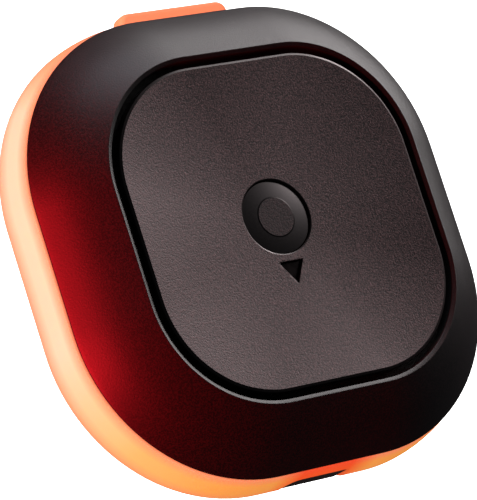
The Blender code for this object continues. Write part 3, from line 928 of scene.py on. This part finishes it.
def make_world():
    """Dim studio air for the tag, and a white backdrop for the camera."""
    world = bpy.data.worlds.new("studio")
    SCENE.world = world
    world.use_nodes = True
    tree = world.node_tree
    tree.nodes.clear()
    path = tree.nodes.new("ShaderNodeLightPath")
    seen = tree.nodes.new("ShaderNodeBackground")
    seen.inputs["Color"].default_value = (1.0, 1.0, 1.0, 1.0)
    dim = tree.nodes.new("ShaderNodeBackground")
    dim.inputs["Color"].default_value = (0.9, 0.92, 1.0, 1.0)
    dim.inputs["Strength"].default_value = 0.03
    mix = tree.nodes.new("ShaderNodeMixShader")
    out = tree.nodes.new("ShaderNodeOutputWorld")
    tree.links.new(path.outputs["Is Camera Ray"], mix.inputs["Fac"])
    tree.links.new(dim.outputs[0], mix.inputs[1])
    tree.links.new(seen.outputs[0], mix.inputs[2])
    tree.links.new(mix.outputs[0], out.inputs["Surface"])


def make_floor():
    """Plain pale floor, just below the reach of the removed cover."""
    lift = max(joint["range_m"][1] for joint in frame["joints"])
    work = bmesh.new()
    bmesh.ops.create_grid(work, x_segments=4, y_segments=4, size=1.5)
    floor = add_mesh("floor", work)
    floor.location.z = -(lift + 0.3 * MM)
    nodes = Nodes("floor_white")
    floor.data.materials.append(nodes.set(Base_Color=(0.9, 0.9, 0.9), Roughness=0.9))
    floor.visible_glossy = False
    floor.visible_diffuse = False
    floor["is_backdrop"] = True
    return floor


def make_lights():
    """White keys from the upper right, a red accent from the left, and warm light on the base."""
    pieces = {thing.name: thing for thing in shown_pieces()}
    names = ("glow_base", "cap_shell", "plate_skin", "window_lens", "button_skin")
    base, cap, plate, lens, button = ([pieces[name]] for name in names)
    rest = [thing for name, thing in pieces.items() if name not in names]
    # Name, direction, distance, size, power, colour, and what it lights
    rows = (
        ("key", (0.78, 0.6, 0.2), 0.4, (0.4, 0.3), 2.0, (1.0, 0.95, 0.95), cap + rest),
        ("plate_key", (0.82, 0.42, 0.42), 0.4, (0.18, 0.18), 0.98, (1.0, 0.8, 0.81), plate + lens),
        ("edge_light", (0.8, 0.6, 0.25), 0.4, (0.08, 0.08), 0.36, (1.0, 0.9, 0.9), plate),
        ("rim_light", (0.56, 0.75, 0.35), 0.4, (0.06, 0.06), 0.2, (1.0, 0.9, 0.9), plate),
        ("button_light", (0.745, 0.375, 0.543), 0.4, (0.07, 0.07), 0.4, (1.0, 0.86, 0.87), button),
        ("cool_top", (0.1, 0.9, 0.36), 0.4, (0.2, 0.16), 0.35, (0.85, 0.9, 1.0), cap + rest),
        ("red_accent", (-0.95, -0.08, 0.13), 0.34, (0.22, 0.1), 4.0, (1.0, 0.012, 0.022), cap),
        ("warm_side", (-0.95, 0.1, 0.25), 0.4, (0.2, 0.2), 1.3, (1.0, 0.92, 0.9), base),
        ("base_fill", (-0.2, -0.9, 0.5), 0.4, (0.3, 0.3), 0.7, (1.0, 0.9, 0.8), base + rest),
        ("base_top", (0.1, 0.9, 0.5), 0.4, (0.3, 0.3), 0.7, (1.0, 0.9, 0.85), base),
    )
    for name, direction, distance, size, power, colour, lit in rows:
        only_lights(area_light(name, direction, distance, size, power, colour), lit)


def light_floor(floor):
    """Even light on the floor alone, in which the tag casts no shadow."""
    over = area_light("floor_light", (0.0, 0.0, 1.0), 1.0, (1.6, 1.6), 60.0, (1.0, 1.0, 1.0))
    only_lights(over, [floor])
    over.light_linking.blocker_collection = over.light_linking.receiver_collection


def make_camera():
    """Camera above the tag's lower left, far off and with a long lens."""
    data = bpy.data.cameras.new("camera")
    data.sensor_width = 36.0
    data.lens = 259.24
    data.clip_start = 0.01
    data.clip_end = 10.0
    camera = bpy.data.objects.new("camera", data)
    camera.location = Vector((-11.7726, -4.0683, 16.905)) * PLATE_HALF
    camera.location.z += RIM_Z
    camera.rotation_euler = [math.radians(angle) for angle in (21.48, -28.934, -20.046)]
    SCENE.collection.objects.link(camera)
    SCENE.camera = camera


def main():
    """Dress the frame, light it, and aim the camera."""
    SCENE.view_settings.view_transform = "Standard"
    materials = make_materials()
    for make in (make_cap_shell, make_face_plate, make_lens, make_button, make_base_shell,
                 make_back_cover):
        make(materials)
    screws = range(1, 5)
    for number in screws:
        make_screw(number, materials)
    redone = {"front_cap", "face_plate", "indicator_lens", "button_cap", "base_shell", "back_cover"}
    redone |= {f"case_screw_{number}" for number in screws}
    dress_cad_nodes(materials, redone)
    floor = make_floor()
    make_world()
    make_lights()
    light_floor(floor)
    make_camera()


main()
